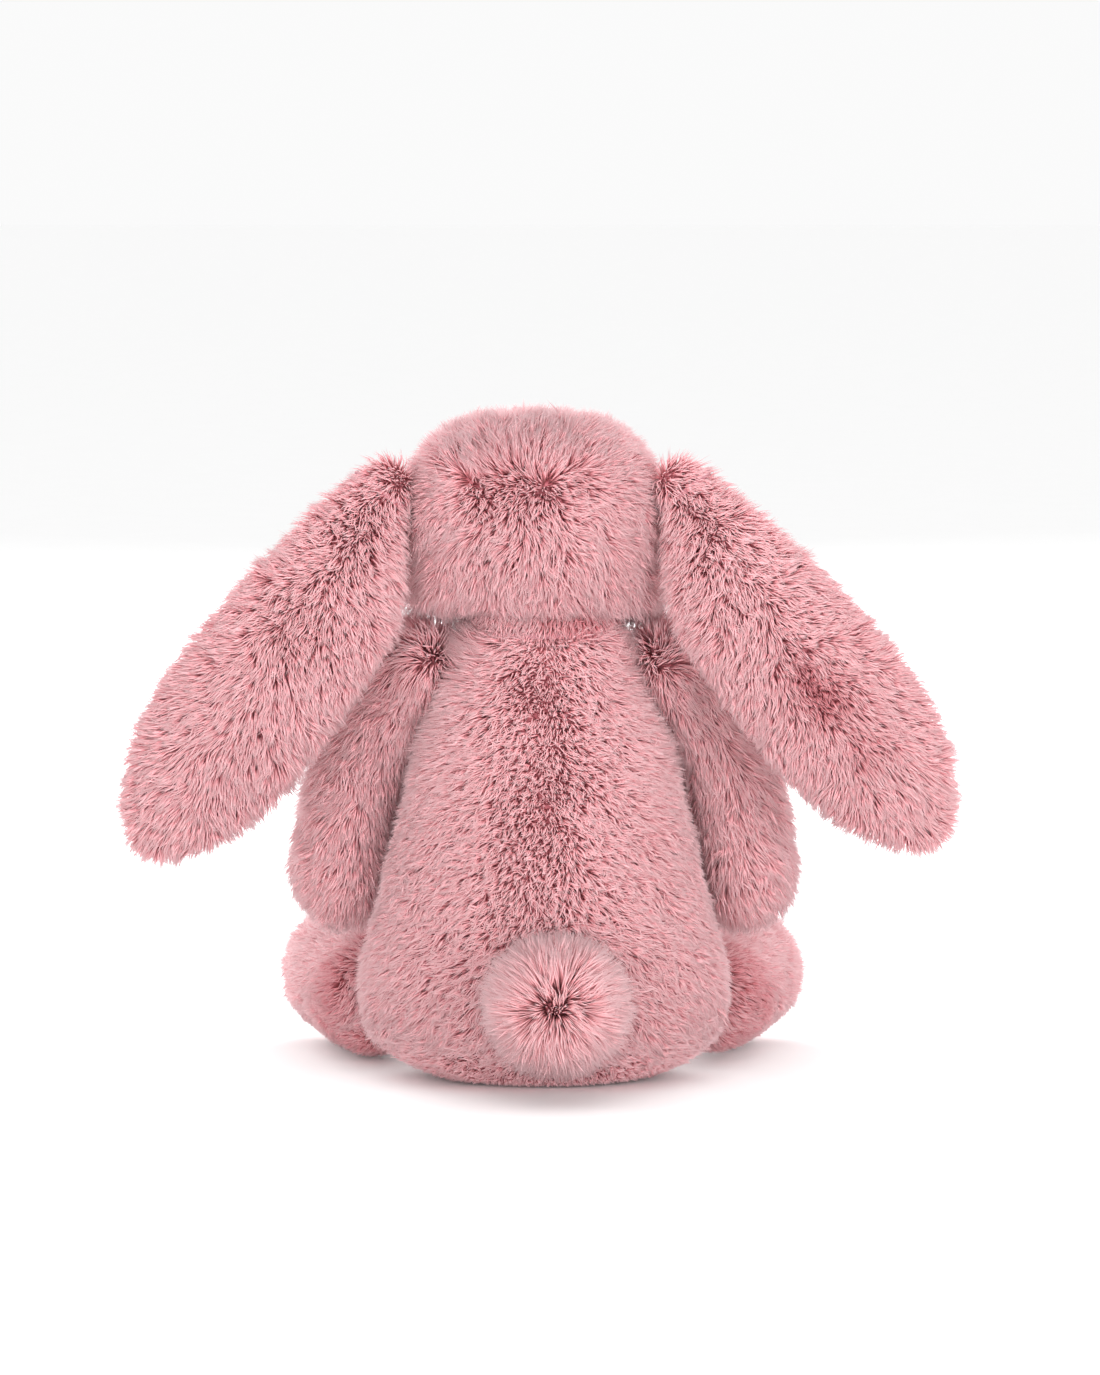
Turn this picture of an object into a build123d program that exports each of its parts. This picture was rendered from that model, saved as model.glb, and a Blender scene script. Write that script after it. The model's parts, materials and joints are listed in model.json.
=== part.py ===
"""A sitting plush bunny with long hanging ears, as its sewn panels, fillings, face parts and tail.

Millimetres, +Z up. The origin is the centre of the flat seat, on the surface the bunny sits on.
The bunny faces -Y, so its own left side is +X. The plush solids end inside the pile, whose visible
tips stand 3.5 mm further out.
"""

from build123d import *
import math
import os

# --- cloth and seams -------------------------------------------------------------------------
CLOTH = 3.0            # plush cloth with the dense foot of its pile, as one layer
SEAM = 0.3             # gap between two panels at a seam
FILL_GAP = 0.3         # between a cloth's inside and what it holds
SEAT_TRIM = 0.3        # the pear is drawn this much below its seat, then cut off flat
BODY_GAP = 0.5         # least gap between solids that move on each other

# --- torso: a pear with a flat seat ----------------------------------------------------------
TORSO_PROFILE = [      # (half width, height) of the pear's side line
    (36.6, -SEAT_TRIM), (45, 4.5), (50.5, 10.5), (55, 19), (56.8, 28), (55, 41.5), (51.5, 54.5),
    (48.3, 67.5), (44.5, 82.5), (40, 96.5), (36, 107.5), (31, 120.5), (26.5, 132.5), (23.5, 145),
]
TORSO_DEPTH = 0.8      # depth over width
SEAT_RADIUS = 37.0     # half width of the seat panel
BEAN_POUCH_RADIUS = 27.0
BEAN_POUCH_HEIGHT = 24.0
PELLET_RADIUS = 2.4

# --- neck: a ball of stuffing that the head sits on --------------------------------------------
NECK = Vector(0, 0, 145.5)
NECK_RADIUS = 15.0
NOD_FORWARD = 15.0     # degrees; the head's underside is coned to leave this much room
NECK_THREAD = 0.9      # radius of the gathering thread at the torso's top edge

# --- head --------------------------------------------------------------------------------------
HEAD_CENTRE = Vector(3.5, -8, 178.7)
HEAD_PROFILE = [       # (half width, height above the head's centre), from under the chin to the crown
    (0, -33), (23, -31), (35.2, -25.5), (39.6, -16.5), (41.3, -6), (41, 4), (38.3, 14),
    (33.5, 22), (26.5, 28), (15, 31.8), (0, 32.8),
]
HEAD_DEPTH = 0.96
CROWN_HALF_WIDTH = 12.5
CHIN_Y = -12.0         # the chin gusset starts here, behind the muzzle
MUZZLE_CENTRE = Vector(3.5, -44, 169)
MUZZLE_SIZE = Vector(19, 14, 14)
EYE_RADIUS = 4.8
EYE_SPREAD = 19.0      # sideways from the head's middle
EYE_HEIGHT = 7.0       # above the head's centre
SHANK_RADIUS = 1.3
SHANK_LENGTH = 11.0
WASHER_RADIUS = 5.5
WASHER_THICKNESS = 1.4
NOSE_WIDTH = 11.0
NOSE_HEIGHT = 7.5
NOSE_THICKNESS = 1.6
NOSE_TOP = 8.5         # above the muzzle's centre
MOUTH_THREAD = 0.7

# --- ears: long flat leaves that hang beside the head and behind the arms ----------------------
EAR_ROOT_SPREAD = 46.9  # sideways from the head's middle
EAR_ROOT_Y = 6.0
EAR_ROOT_Z = 190.5
EAR_HANG = {"left": 54.0, "right": 51.5}   # degrees below level
EAR_SECTIONS = [       # (along, half width, half thickness, shift towards the body, backward shift)
    (-8.6, 3.0, 1.8, 0.0, 0.0), (-6, 7.0, 3.8, 0.0, 0.0), (0, 9.2, 5.0, 0.0, 1.0),
    (10, 13.4, 5.8, 1.6, 5.0), (20, 17.9, 6.4, 3.8, 10.2), (32, 22.0, 6.9, 5.8, 15.8),
    (47, 24.2, 7.2, 5.9, 20.2), (65, 25.0, 7.4, 5.2, 22.5), (88, 25.5, 7.2, 5.0, 23.0),
    (104, 23.8, 6.6, 5.0, 22.0), (117, 19.8, 5.8, 5.0, 21.0), (128, 14.2, 4.9, 5.2, 20.0),
    (135, 8.4, 3.6, 5.5, 19.5), (138.5, 3.0, 1.8, 5.6, 19.2),
]
EAR_BLUNT = 0.3        # least share of a section that an inner layer keeps
EAR_WALL = 2.4
EAR_STITCH = 0.9
EAR_STITCH_ALONG = 2.0
EAR_STITCH_BACK = 1.6
EAR_STITCH_REACH = 9.7
EAR_STITCH_FLATNESS = 0.56

# --- arms: hang from the shoulders to paws beside the lap --------------------------------------
ARM_LINE = [(41, -8, 131), (53.5, -13, 112), (61.5, -18, 89), (64.8, -23, 63.5)]
ARM_RADIUS = [(0, 13.2), (0.35, 13.6), (0.7, 14.6), (1, 15)]
ARM_FLATNESS = 0.94    # side-to-side over front-to-back

# --- legs: lie forward on the floor from the hips to upright soles -----------------------------
LEG_LINE = [(55, -47, 20), (59.5, -66, 20.5), (62.5, -84, 21.5), (64, -100, 22.3)]
LEG_RADIUS = [(0, 19), (0.35, 19.5), (0.7, 21.0), (1, 22.0)]
LEG_LIFT = 0.4         # underside of the legs above the floor
SOLE_DEPTH = 9.0       # the sole panel covers this much of the foot's front
FOOT_BEANS_RADIUS = 12.0

# --- tail: a pompom sewn low on the back -------------------------------------------------------
TAIL_RADIUS = 20.5
TAIL_HEIGHT = 31.0
TAIL_SIDE = -4.0
TAIL_STAND = 22.3      # ball's centre behind its stitch
TAIL_CLOTH = 2.5
TAIL_STITCH_RADIUS = 3.0

SIDES = {"left": 1, "right": -1}
RING_POINTS = 12
CAP_TURNS = (12, 28, 46, 66)   # degrees round a limb's rounded end where sections stand


def write(node, solid):
    """One node is one STEP file."""
    export_step(solid, os.path.join("parts", node + ".step"))


def joined(pieces):
    """Several separate solids kept together in one node."""
    return Compound(children=list(pieces))


def interpolate(table, place):
    """Straight-line value of a (place, value) table."""
    for (low, low_value), (high, high_value) in zip(table, table[1:]):
        if place <= high:
            share = (place - low) / (high - low)
            return low_value + share * (high_value - low_value)
    return table[-1][1]


def ring(centre, along, across, half_across, half_other):
    """An oval section face that always starts at +across, so that lofts don't twist."""
    plane = Plane(origin=centre, x_dir=across, z_dir=along)
    points = []
    for step in range(RING_POINTS):
        turn = math.tau * step / RING_POINTS
        local = Vector(half_across * math.cos(turn), half_other * math.sin(turn), 0)
        points.append(plane.from_local_coords(local))
    return make_face(Spline(*points, periodic=True))


def limb(line_points, radii, inset, flatness):
    """A round-ended tube of changing radius along a smooth line, its skin moved in by inset."""
    line = Spline(*line_points)
    start_radius = radii[0][1] - inset
    end_radius = radii[-1][1] - inset
    across = Vector(1, 0, 0)

    def section(place, radius):
        return ring(line @ place, line % place, across, radius * flatness, radius)

    def cap(place, outward, radius):
        """Sections of a rounded end, from its small blunt tip to its rim."""
        centre = line @ place
        along = (line % place) * outward
        rings = []
        for turn in CAP_TURNS:
            step = radius * math.cos(math.radians(turn))
            size = radius * math.sin(math.radians(turn))
            rings.append(ring(centre + along * step, line % place, across, size * flatness, size))
        return rings

    places = [0, 0.2, 0.4, 0.6, 0.8, 1]
    middle = [section(place, interpolate(radii, place) - inset) for place in places]
    return loft(cap(0, -1, start_radius) + middle + cap(1, 1, end_radius)[::-1])


def inset_profile(points, inset, floor, top):
    """Side-line points moved in along their normals and kept between floor and top."""
    moved = []
    for index, (half, height) in enumerate(points):
        before = points[max(index - 1, 0)]
        after = points[min(index + 1, len(points) - 1)]
        run = Vector(after[0] - before[0], after[1] - before[1]).normalized()
        new_height = min(max(height + run.X * inset, floor), top)
        moved.append((max(half - run.Y * inset, 0), new_height))
    return moved


def turned(points, depth, centre):
    """A solid of revolution of a side line about a vertical axis, flattened front to back."""
    plane_points = [(half, 0, height) for half, height in points]
    side = Spline(*plane_points)
    low = plane_points[0][2]
    high = plane_points[-1][2]
    edges = [side]
    if plane_points[-1][0] > 0:
        edges.append(Line(plane_points[-1], (0, 0, high)))
    edges.append(Line((0, 0, high), (0, 0, low)))
    if plane_points[0][0] > 0:
        edges.append(Line((0, 0, low), plane_points[0]))
    body = revolve(make_face(edges), axis=Axis.Z)
    return Pos(*centre) * scale(body, by=(1, depth, 1))


def torso(inset):
    """The pear on its flat seat, its skin moved in by inset."""
    top = TORSO_PROFILE[-1][1]
    points = inset_profile(TORSO_PROFILE, inset, inset - SEAT_TRIM, top - inset)
    return beyond(turned(points, TORSO_DEPTH, Vector(0, 0, 0)), (0, 0, 1), (0, 0, inset))


def head(inset):
    """The head's egg, its skin moved in by inset."""
    points = inset_profile(HEAD_PROFILE, inset, HEAD_PROFILE[0][1] + inset, HEAD_PROFILE[-1][1] - inset)
    points[0] = (0, HEAD_PROFILE[0][1] + inset)
    points[-1] = (0, HEAD_PROFILE[-1][1] - inset)
    return turned(points, HEAD_DEPTH, HEAD_CENTRE)


def beyond(shape, normal, point):
    """The part of a shape on the side of a plane that its normal points to."""
    return split(shape, bisect_by=Plane(origin=point, z_dir=normal), keep=Keep.TOP)


def neck_room(extra):
    """What the neck's ball and the head's nodding take out of the head and torso."""
    return Pos(*NECK) * Sphere(NECK_RADIUS + extra)


def make_torso():
    """Two back panels, a belly panel, a seat disc, the filling and the pouch of beans."""
    shell = torso(0) - torso(CLOTH) - neck_room(BODY_GAP)
    seat_cut = scale(Cylinder(SEAT_RADIUS, 2 * (CLOTH + SEAM)), by=(1, TORSO_DEPTH, 1))
    seat = torso(0) & scale(Cylinder(SEAT_RADIUS - SEAM, 2 * CLOTH), by=(1, TORSO_DEPTH, 1))
    walls = shell - seat_cut
    groove_height = TORSO_PROFILE[-1][1] - 1.6
    groove = Pos(0, 0, groove_height) * Torus(21.5, NECK_THREAD)
    thread = scale(groove, by=(1, 0.86, 1))
    walls = walls - thread
    back = beyond(walls, (0, 1, 0), (0, SEAM / 2, 0))
    write("torso_belly", beyond(walls, (0, -1, 0), (0, -SEAM / 2, 0)))
    write("torso_back_left", beyond(back, (1, 0, 0), (SEAM / 2, 0, 0)))
    write("torso_back_right", beyond(back, (-1, 0, 0), (-SEAM / 2, 0, 0)))
    write("torso_base", seat)
    write("neck_thread", thread)

    pouch_centre = (0, 0, CLOTH + 2 * FILL_GAP + BEAN_POUCH_HEIGHT / 2 + SEAM)
    pouch_outer = Pos(*pouch_centre) * fillet(
        Cylinder(BEAN_POUCH_RADIUS, BEAN_POUCH_HEIGHT).edges(), BEAN_POUCH_HEIGHT * 0.35)
    pouch_inner = Pos(*pouch_centre) * fillet(
        Cylinder(BEAN_POUCH_RADIUS - 1, BEAN_POUCH_HEIGHT - 2).edges(), BEAN_POUCH_HEIGHT * 0.3)
    pouch_room = Pos(*pouch_centre) * fillet(
        Cylinder(BEAN_POUCH_RADIUS + FILL_GAP, BEAN_POUCH_HEIGHT + 2 * FILL_GAP).edges(),
        BEAN_POUCH_HEIGHT * 0.35)
    write("bean_pouch", pouch_outer - pouch_inner)
    write("bean_pellets", joined(pellets(pouch_centre)))
    write("torso_stuffing", torso(CLOTH + FILL_GAP) - neck_room(BODY_GAP) - pouch_room)


def pellets(centre):
    """Plastic pellets in rings and layers inside the pouch."""
    balls = []
    pitch = 2 * PELLET_RADIUS + 1.6
    for layer in (-1, 0, 1):
        balls.append(Pos(centre[0], centre[1], centre[2] + layer * pitch) * Sphere(PELLET_RADIUS))
        for loop in (1, 2, 3):
            if layer and loop == 3:
                continue
            count = 6 * loop
            for step in range(count):
                turn = math.tau * (step + 0.5 * (layer % 2)) / count
                reach = loop * pitch
                place = Pos(
                    centre[0] + reach * math.cos(turn),
                    centre[1] + reach * math.sin(turn),
                    centre[2] + layer * pitch,
                )
                balls.append(place * Sphere(PELLET_RADIUS))
    return balls


def make_neck():
    """The ball of stuffing between torso and head."""
    write("neck_stuffing", Pos(*NECK) * Sphere(NECK_RADIUS))


def nod_room():
    """The cone under the head that stays free when it nods, and the neck's ball."""
    reach = 90.0
    rise = reach * math.tan(math.radians(NOD_FORWARD))
    profile = Polyline((0, 0), (reach, rise), (reach, -60), (0, -60), close=True)
    cone = revolve(Plane.XZ * make_face(profile), axis=Axis.Z)
    return Pos(NECK.X, NECK.Y, NECK.Z + BODY_GAP) * cone + neck_room(BODY_GAP)


def muzzle(inset):
    """The rounded dome under the nose, its skin moved in by inset."""
    ball = scale(Sphere(1), by=tuple(size - inset for size in MUZZLE_SIZE))
    return Pos(*MUZZLE_CENTRE) * ball


def nose_outline():
    """A soft triangle, wide at the top, on the front of the muzzle."""
    top = MUZZLE_CENTRE.Z + NOSE_TOP
    middle = MUZZLE_CENTRE.X
    corners = [
        (middle - NOSE_WIDTH / 2, top), (middle + NOSE_WIDTH / 2, top), (middle, top - NOSE_HEIGHT),
    ]
    triangle = make_face(Polyline(*corners, close=True))
    return fillet(triangle.vertices(), 1.8)


def mouth_outline():
    """A short stem below the nose that parts into two smiling curves."""
    stem_top = MUZZLE_CENTRE.Z + NOSE_TOP - NOSE_HEIGHT - 0.6
    middle = MUZZLE_CENTRE.X
    fork = stem_top - 4.0
    stem = Line((middle, stem_top), (middle, fork))
    shapes = trace(stem, line_width=2 * MOUTH_THREAD)
    for side in SIDES.values():
        smile = ThreePointArc(
            (middle, fork), (middle + side * 3.6, fork - 2.6), (middle + side * 7.5, fork - 1.6))
        shapes += trace(smile, line_width=2 * MOUTH_THREAD)
    return shapes


def pushed_forward(outline):
    """A flat front-view outline (X, Z) made solid from the head's middle to in front of it."""
    front = Plane(origin=(0, -80, 0), x_dir=(1, 0, 0), z_dir=(0, 1, 0))
    # this plane's local y points down, so the outline is flipped to keep its own up
    return extrude(front * mirror(outline, about=Plane.XZ), amount=40)


def eye_pieces(side, skull):
    """An eye bead with its shank, the lock washer behind the cloth, and the room they need."""
    aim = Vector(side * EYE_SPREAD, -33.0, EYE_HEIGHT).normalized()
    hits = skull.find_intersection_points(Axis(HEAD_CENTRE, aim))
    place = max((hit[0] for hit in hits), key=lambda point: (point - HEAD_CENTRE).dot(aim))
    plane = Plane(origin=place, z_dir=aim)
    bead = plane * Pos(0, 0, 0.6) * scale(Sphere(EYE_RADIUS), by=(1, 1, 0.72))
    shank = plane * Cylinder(SHANK_RADIUS, SHANK_LENGTH, align=(Align.CENTER, Align.CENTER, Align.MAX))
    washer_depth = -(CLOTH + FILL_GAP + 0.8)
    washer_at = plane * Pos(0, 0, washer_depth)
    top = (Align.CENTER, Align.CENTER, Align.MAX)
    washer = washer_at * (
        Cylinder(WASHER_RADIUS, WASHER_THICKNESS, align=top)
        - Cylinder(SHANK_RADIUS + 0.05, WASHER_THICKNESS, align=top)
    )
    bead_room = plane * Pos(0, 0, 0.6) * scale(Sphere(EYE_RADIUS + 0.15), by=(1, 1, 0.75))
    shank_room = plane * Cylinder(SHANK_RADIUS + 0.15, SHANK_LENGTH + 0.3, align=top)
    washer_room = washer_at * Pos(0, 0, 0.2) * Cylinder(
        WASHER_RADIUS + 0.2, WASHER_THICKNESS + 0.4, align=top)
    return bead + shank, washer, bead_room + shank_room, washer_room + shank_room


def make_head():
    """Side panels, crown gusset, chin, muzzle, filling, eyes, nose and mouth."""
    room = nod_room()
    skull = head(0)
    shell = skull - head(CLOTH) - room
    filling = head(CLOTH + FILL_GAP) - room
    middle = HEAD_CENTRE.X
    for name, side in SIDES.items():
        eye, washer, cloth_room, inside_room = eye_pieces(side, skull)
        panel = beyond(shell, (side, 0, 0), (middle + side * (CROWN_HALF_WIDTH + SEAM), 0, 0))
        filling = filling - inside_room
        write("head_side_" + name, panel - cloth_room)
        write("eye_" + name, eye)
        write("eye_washer_" + name, washer)
    write("head_stuffing", filling)

    strip = beyond(shell, (-1, 0, 0), (middle + CROWN_HALF_WIDTH, 0, 0))
    strip = beyond(strip, (1, 0, 0), (middle - CROWN_HALF_WIDTH, 0, 0))
    front = beyond(strip, (0, -1, 0), (0, CHIN_Y, 0))
    crown_front = beyond(front, (0, 0, 1), (0, 0, MUZZLE_CENTRE.Z + SEAM))
    write("head_crown", beyond(strip, (0, 1, 0), (0, CHIN_Y, 0)) + crown_front)
    chin = beyond(front, (0, 0, -1), (0, 0, MUZZLE_CENTRE.Z))
    write("head_chin", beyond(chin, (0, -1, 0), (0, CHIN_Y - SEAM, 0)))

    write("muzzle", biggest(muzzle(0) - head(-SEAM) - room - muzzle_inside(0)))
    write("muzzle_stuffing", biggest(muzzle_inside(FILL_GAP) - room))
    nose = (muzzle(-NOSE_THICKNESS) - muzzle(-0.02)) & pushed_forward(nose_outline())
    write("nose", biggest(nose))
    mouth = (muzzle(-MOUTH_THREAD) - muzzle(-0.02)) & pushed_forward(mouth_outline())
    write("mouth_stitch", biggest(mouth))


def muzzle_inside(extra):
    """The room inside the muzzle's cloth, less extra all round."""
    return muzzle(CLOTH + extra) - head(-SEAM - 1 - extra)


def biggest(shape):
    """The largest solid of a shape, without slivers."""
    return max(shape.solids(), key=lambda solid: solid.volume)


def ear(inset):
    """The leaf along +Z in its own frame: X is its width, Y its thickness."""
    rings = []
    low = EAR_SECTIONS[0][0]
    high = EAR_SECTIONS[-1][0]
    shrink = (high - low - 2 * inset) / (high - low)
    for along, half_width, half_thick, shift, back in EAR_SECTIONS:
        centre = (shift, back, low + inset + (along - low) * shrink)
        edge = EAR_BLUNT * half_width
        width = max(half_width - inset, edge)
        thick = max(half_thick - inset, EAR_BLUNT * half_thick)
        rings.append(ring(centre, (0, 0, 1), (1, 0, 0), width, thick))
    return loft(rings)


def ear_plane(root_x, hang):
    """An ear's own frame: its +Z hangs outwards, its +X is the inner edge, its +Y is backwards."""
    slope = math.radians(hang)
    return Plane(
        origin=(root_x, EAR_ROOT_Y, EAR_ROOT_Z),
        x_dir=(-math.sin(slope), 0, -math.cos(slope)),
        z_dir=(math.cos(slope), 0, -math.sin(slope)),
    )


def make_ears():
    """Back panel, lining, wadding and root stitches of each ear."""
    shell = ear(0) - ear(EAR_WALL)
    wadding = ear(EAR_WALL + FILL_GAP)
    # the parting surface follows the leaf's bent middle
    front_block = parting_block([(section[0], section[4]) for section in EAR_SECTIONS])
    stitch = Pos(0, EAR_STITCH_BACK, EAR_STITCH_ALONG) * scale(
        Torus(EAR_STITCH_REACH, EAR_STITCH), by=(1, EAR_STITCH_FLATNESS, 1))
    pieces = {
        "back": shell - front_block - stitch,
        "lining": (shell & front_block) - stitch,
        "wadding": wadding,
        "stitch": stitch,
    }
    left = ear_plane(EAR_ROOT_SPREAD + HEAD_CENTRE.X, EAR_HANG["left"])
    # the right ear is drawn on the left, round its mirrored root, and then mirrored
    mirrored = ear_plane(EAR_ROOT_SPREAD - HEAD_CENTRE.X, EAR_HANG["right"])
    for label, piece in pieces.items():
        write("ear_" + label + "_left", left * piece)
        write("ear_" + label + "_right", mirror(mirrored * piece, about=Plane.YZ))


def parting_block(line):
    """Everything in front of the ear's bent middle, less half a seam."""
    far = 60
    points = [(-40, line[0][1])] + line + [(200, line[-1][1])]
    front_edge = [(reach, back - SEAM / 2) for reach, back in points]
    outline = Polyline(*front_edge, (200, -far), (-40, -far), close=True)
    # outline is drawn as (along, back); stand it up as (Y = back, Z = along)
    face = make_face(outline)
    plane = Plane(origin=(-80, 0, 0), x_dir=(0, 0, 1), z_dir=(1, 0, 0))
    flipped = mirror(face, about=Plane.XZ)
    return extrude(plane * flipped, amount=160)


def make_arms():
    """Outer panel, inner panel and filling of each arm."""
    full = limb(ARM_LINE, ARM_RADIUS, 0, ARM_FLATNESS)
    inside = limb(ARM_LINE, ARM_RADIUS, CLOTH, ARM_FLATNESS)
    filling = limb(ARM_LINE, ARM_RADIUS, CLOTH + FILL_GAP, ARM_FLATNESS)
    shell = full - inside
    chord = Vector(*ARM_LINE[-1]) - Vector(*ARM_LINE[0])
    outward = Vector(0, 1, 0).cross(chord).normalized()
    if outward.X < 0:
        outward = outward * -1
    middle = Vector(*ARM_LINE[1]) + outward * -1.5
    outer = beyond(shell, outward, middle + outward * (SEAM / 2))
    inner = beyond(shell, outward * -1, middle - outward * (SEAM / 2))
    for label, piece in (("outer", outer), ("inner", inner), ("stuffing", filling)):
        write("arm_" + label + "_left", piece)
        write("arm_" + label + "_right", mirror(piece, about=Plane.YZ))


def make_legs():
    """Top panel, under panel, sole, filling and bean bag of each leg."""
    up = (0, 0, 1)
    full = beyond(limb(LEG_LINE, LEG_RADIUS, 0, 1), up, (0, 0, LEG_LIFT))
    inside = beyond(limb(LEG_LINE, LEG_RADIUS, CLOTH, 1), up, (0, 0, LEG_LIFT + CLOTH))
    fill_floor = (0, 0, LEG_LIFT + CLOTH + FILL_GAP)
    filling = beyond(limb(LEG_LINE, LEG_RADIUS, CLOTH + FILL_GAP, 1), up, fill_floor)
    shell = full - inside
    sole_y = LEG_LINE[-1][1] - LEG_RADIUS[-1][1] + SOLE_DEPTH
    tube = beyond(shell, (0, 1, 0), (0, sole_y + SEAM / 2, 0))
    seam_height = LEG_LINE[1][2]
    foot = LEG_LINE[-1]
    bag_at = Pos(foot[0], foot[1] + 4, foot[2] - 4)
    bag = bag_at * scale(Sphere(FOOT_BEANS_RADIUS), by=(1, 0.9, 0.8))
    bag_room = bag_at * scale(Sphere(FOOT_BEANS_RADIUS + FILL_GAP), by=(1, 0.9, 0.8))
    pieces = {
        "leg_top": beyond(tube, up, (0, 0, seam_height + SEAM / 2)),
        "leg_under": beyond(tube, (0, 0, -1), (0, 0, seam_height - SEAM / 2)),
        "foot_sole": beyond(shell, (0, -1, 0), (0, sole_y - SEAM / 2, 0)),
        "leg_stuffing": filling - bag_room,
        "foot_beans": bag,
    }
    for label, piece in pieces.items():
        write(label + "_left", piece)
        write(label + "_right", mirror(piece, about=Plane.YZ))


def make_tail():
    """The pompom's cover and filling, and the stitches that hold it to the back."""
    back = torso(0)
    hits = back.find_intersection_points(Axis((TAIL_SIDE, 0, TAIL_HEIGHT), (0, 1, 0)))
    root_y = max(hit[0].Y for hit in hits)
    centre = Vector(TAIL_SIDE, root_y + TAIL_STAND, TAIL_HEIGHT)
    place = Pos(*centre)
    ball = place * Sphere(TAIL_RADIUS)
    hollow = place * Sphere(TAIL_RADIUS - TAIL_CLOTH)
    core = place * Sphere(TAIL_RADIUS - TAIL_CLOTH - FILL_GAP)
    stitch_reach = TAIL_STAND - 1.2
    stitch = Pos(TAIL_SIDE, root_y + 1.2, TAIL_HEIGHT) * Rot(-90, 0, 0) * Cylinder(
        TAIL_STITCH_RADIUS, stitch_reach * 0.45, align=(Align.CENTER, Align.CENTER, Align.MIN))
    stitch_room = Pos(TAIL_SIDE, root_y, TAIL_HEIGHT) * Rot(-90, 0, 0) * Cylinder(
        TAIL_STITCH_RADIUS + 0.1, stitch_reach * 0.45 + 1.4, align=(Align.CENTER, Align.CENTER, Align.MIN))
    write("tail_cover", ball - hollow - stitch_room)
    write("tail_stuffing", core - stitch_room)
    write("tail_stitch", stitch)


def main():
    os.makedirs("parts", exist_ok=True)
    make_torso()
    make_neck()
    make_head()
    make_ears()
    make_arms()
    make_legs()
    make_tail()


main()
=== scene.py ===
"""Looks of the plush rabbit: stuffed skins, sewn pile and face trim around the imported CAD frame."""

import json
import math

import bpy
import bmesh
import numpy as np
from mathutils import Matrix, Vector, kdtree
from mathutils.bvhtree import BVHTree


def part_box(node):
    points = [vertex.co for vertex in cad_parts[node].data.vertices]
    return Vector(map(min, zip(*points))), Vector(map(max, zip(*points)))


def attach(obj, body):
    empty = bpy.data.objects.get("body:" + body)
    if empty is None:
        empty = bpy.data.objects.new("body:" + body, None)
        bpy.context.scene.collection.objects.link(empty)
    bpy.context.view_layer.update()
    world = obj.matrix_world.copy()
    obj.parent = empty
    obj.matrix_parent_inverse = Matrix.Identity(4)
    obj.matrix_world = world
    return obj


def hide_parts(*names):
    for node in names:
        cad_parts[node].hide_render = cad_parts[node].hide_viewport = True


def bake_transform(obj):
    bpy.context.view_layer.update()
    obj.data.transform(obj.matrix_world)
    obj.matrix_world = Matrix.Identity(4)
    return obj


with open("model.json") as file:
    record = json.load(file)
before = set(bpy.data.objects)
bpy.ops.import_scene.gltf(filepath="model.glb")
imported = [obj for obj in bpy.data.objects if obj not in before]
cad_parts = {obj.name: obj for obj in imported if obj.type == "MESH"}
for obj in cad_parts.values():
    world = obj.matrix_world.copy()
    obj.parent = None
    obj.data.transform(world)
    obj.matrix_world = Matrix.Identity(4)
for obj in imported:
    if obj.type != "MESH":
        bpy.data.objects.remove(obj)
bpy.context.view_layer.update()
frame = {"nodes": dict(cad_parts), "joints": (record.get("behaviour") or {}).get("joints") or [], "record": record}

MM = 0.001
SEED = 41
NODES = frame["nodes"]
JOINTS = {joint["name"]: joint for joint in frame["joints"]}

# Camera: seen from behind, slightly from above.
VIEW_ELEVATION = 4.5
VIEW_DISTANCE = 2.5
VIEW_TARGET = Vector((-0.00192, 0.0, 0.1256))
VIEW_HEIGHT = 0.440

# Cloth covers by body: the sewn panels and the fillings under them.
COVERS = {
    "torso": ["torso_back_left", "torso_back_right", "torso_belly", "torso_base"],
    "head": ["head_side_left", "head_side_right", "head_crown", "head_chin", "muzzle"],
    "ear_left": ["ear_back_left", "ear_lining_left"],
    "ear_right": ["ear_back_right", "ear_lining_right"],
    "arm_left": ["arm_outer_left", "arm_inner_left"],
    "arm_right": ["arm_outer_right", "arm_inner_right"],
    "leg_left": ["leg_top_left", "leg_under_left", "foot_sole_left"],
    "leg_right": ["leg_top_right", "leg_under_right", "foot_sole_right"],
    "tail": ["tail_cover"],
}
FILLINGS = {
    "torso": ["torso_stuffing", "bean_pouch"],
    "head": ["head_stuffing", "muzzle_stuffing"],
    "ear_left": ["ear_wadding_left"],
    "ear_right": ["ear_wadding_right"],
    "arm_left": ["arm_stuffing_left"],
    "arm_right": ["arm_stuffing_right"],
    "leg_left": ["leg_stuffing_left", "foot_beans_left"],
    "leg_right": ["leg_stuffing_right", "foot_beans_right"],
    "tail": ["tail_stuffing"],
}

SKIN_VOXEL = 2.2 * MM
# How far a skin lies inside its CAD cover: deeper where the pile is long, and round the seat's edge.
SKIN_DEPTH = 1.8 * MM
LONGER_PILE_DEPTHS = {"tail": 6.5 * MM, "leg_left": 2.5 * MM, "leg_right": 3.7 * MM}
SEAT_TUCK = 1.6 * MM
SWELL_FRAMES = 20
SWELL_LIMIT = 0.9 * MM

# Sleeve between torso and head: (height, half width), flattened front to back.
SLEEVE_PROFILE = [
    (137, 14), (138, 18.5), (141, 20.5), (145, 22), (149, 23), (153, 24), (156, 23), (158, 19),
]
SLEEVE_DEPTH = 0.80
SLEEVE_SIDES = 48

NOSE_FLOSS = 0.42 * MM
NOSE_RISE = 1.3 * MM
NOSE_SEWN_IN = 2.4 * MM
MOUTH_THREAD = 1.0 * MM
MOUTH_TWIST = 2.2 * MM
MOUTH_LIFT = 0.8 * MOUTH_THREAD

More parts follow.
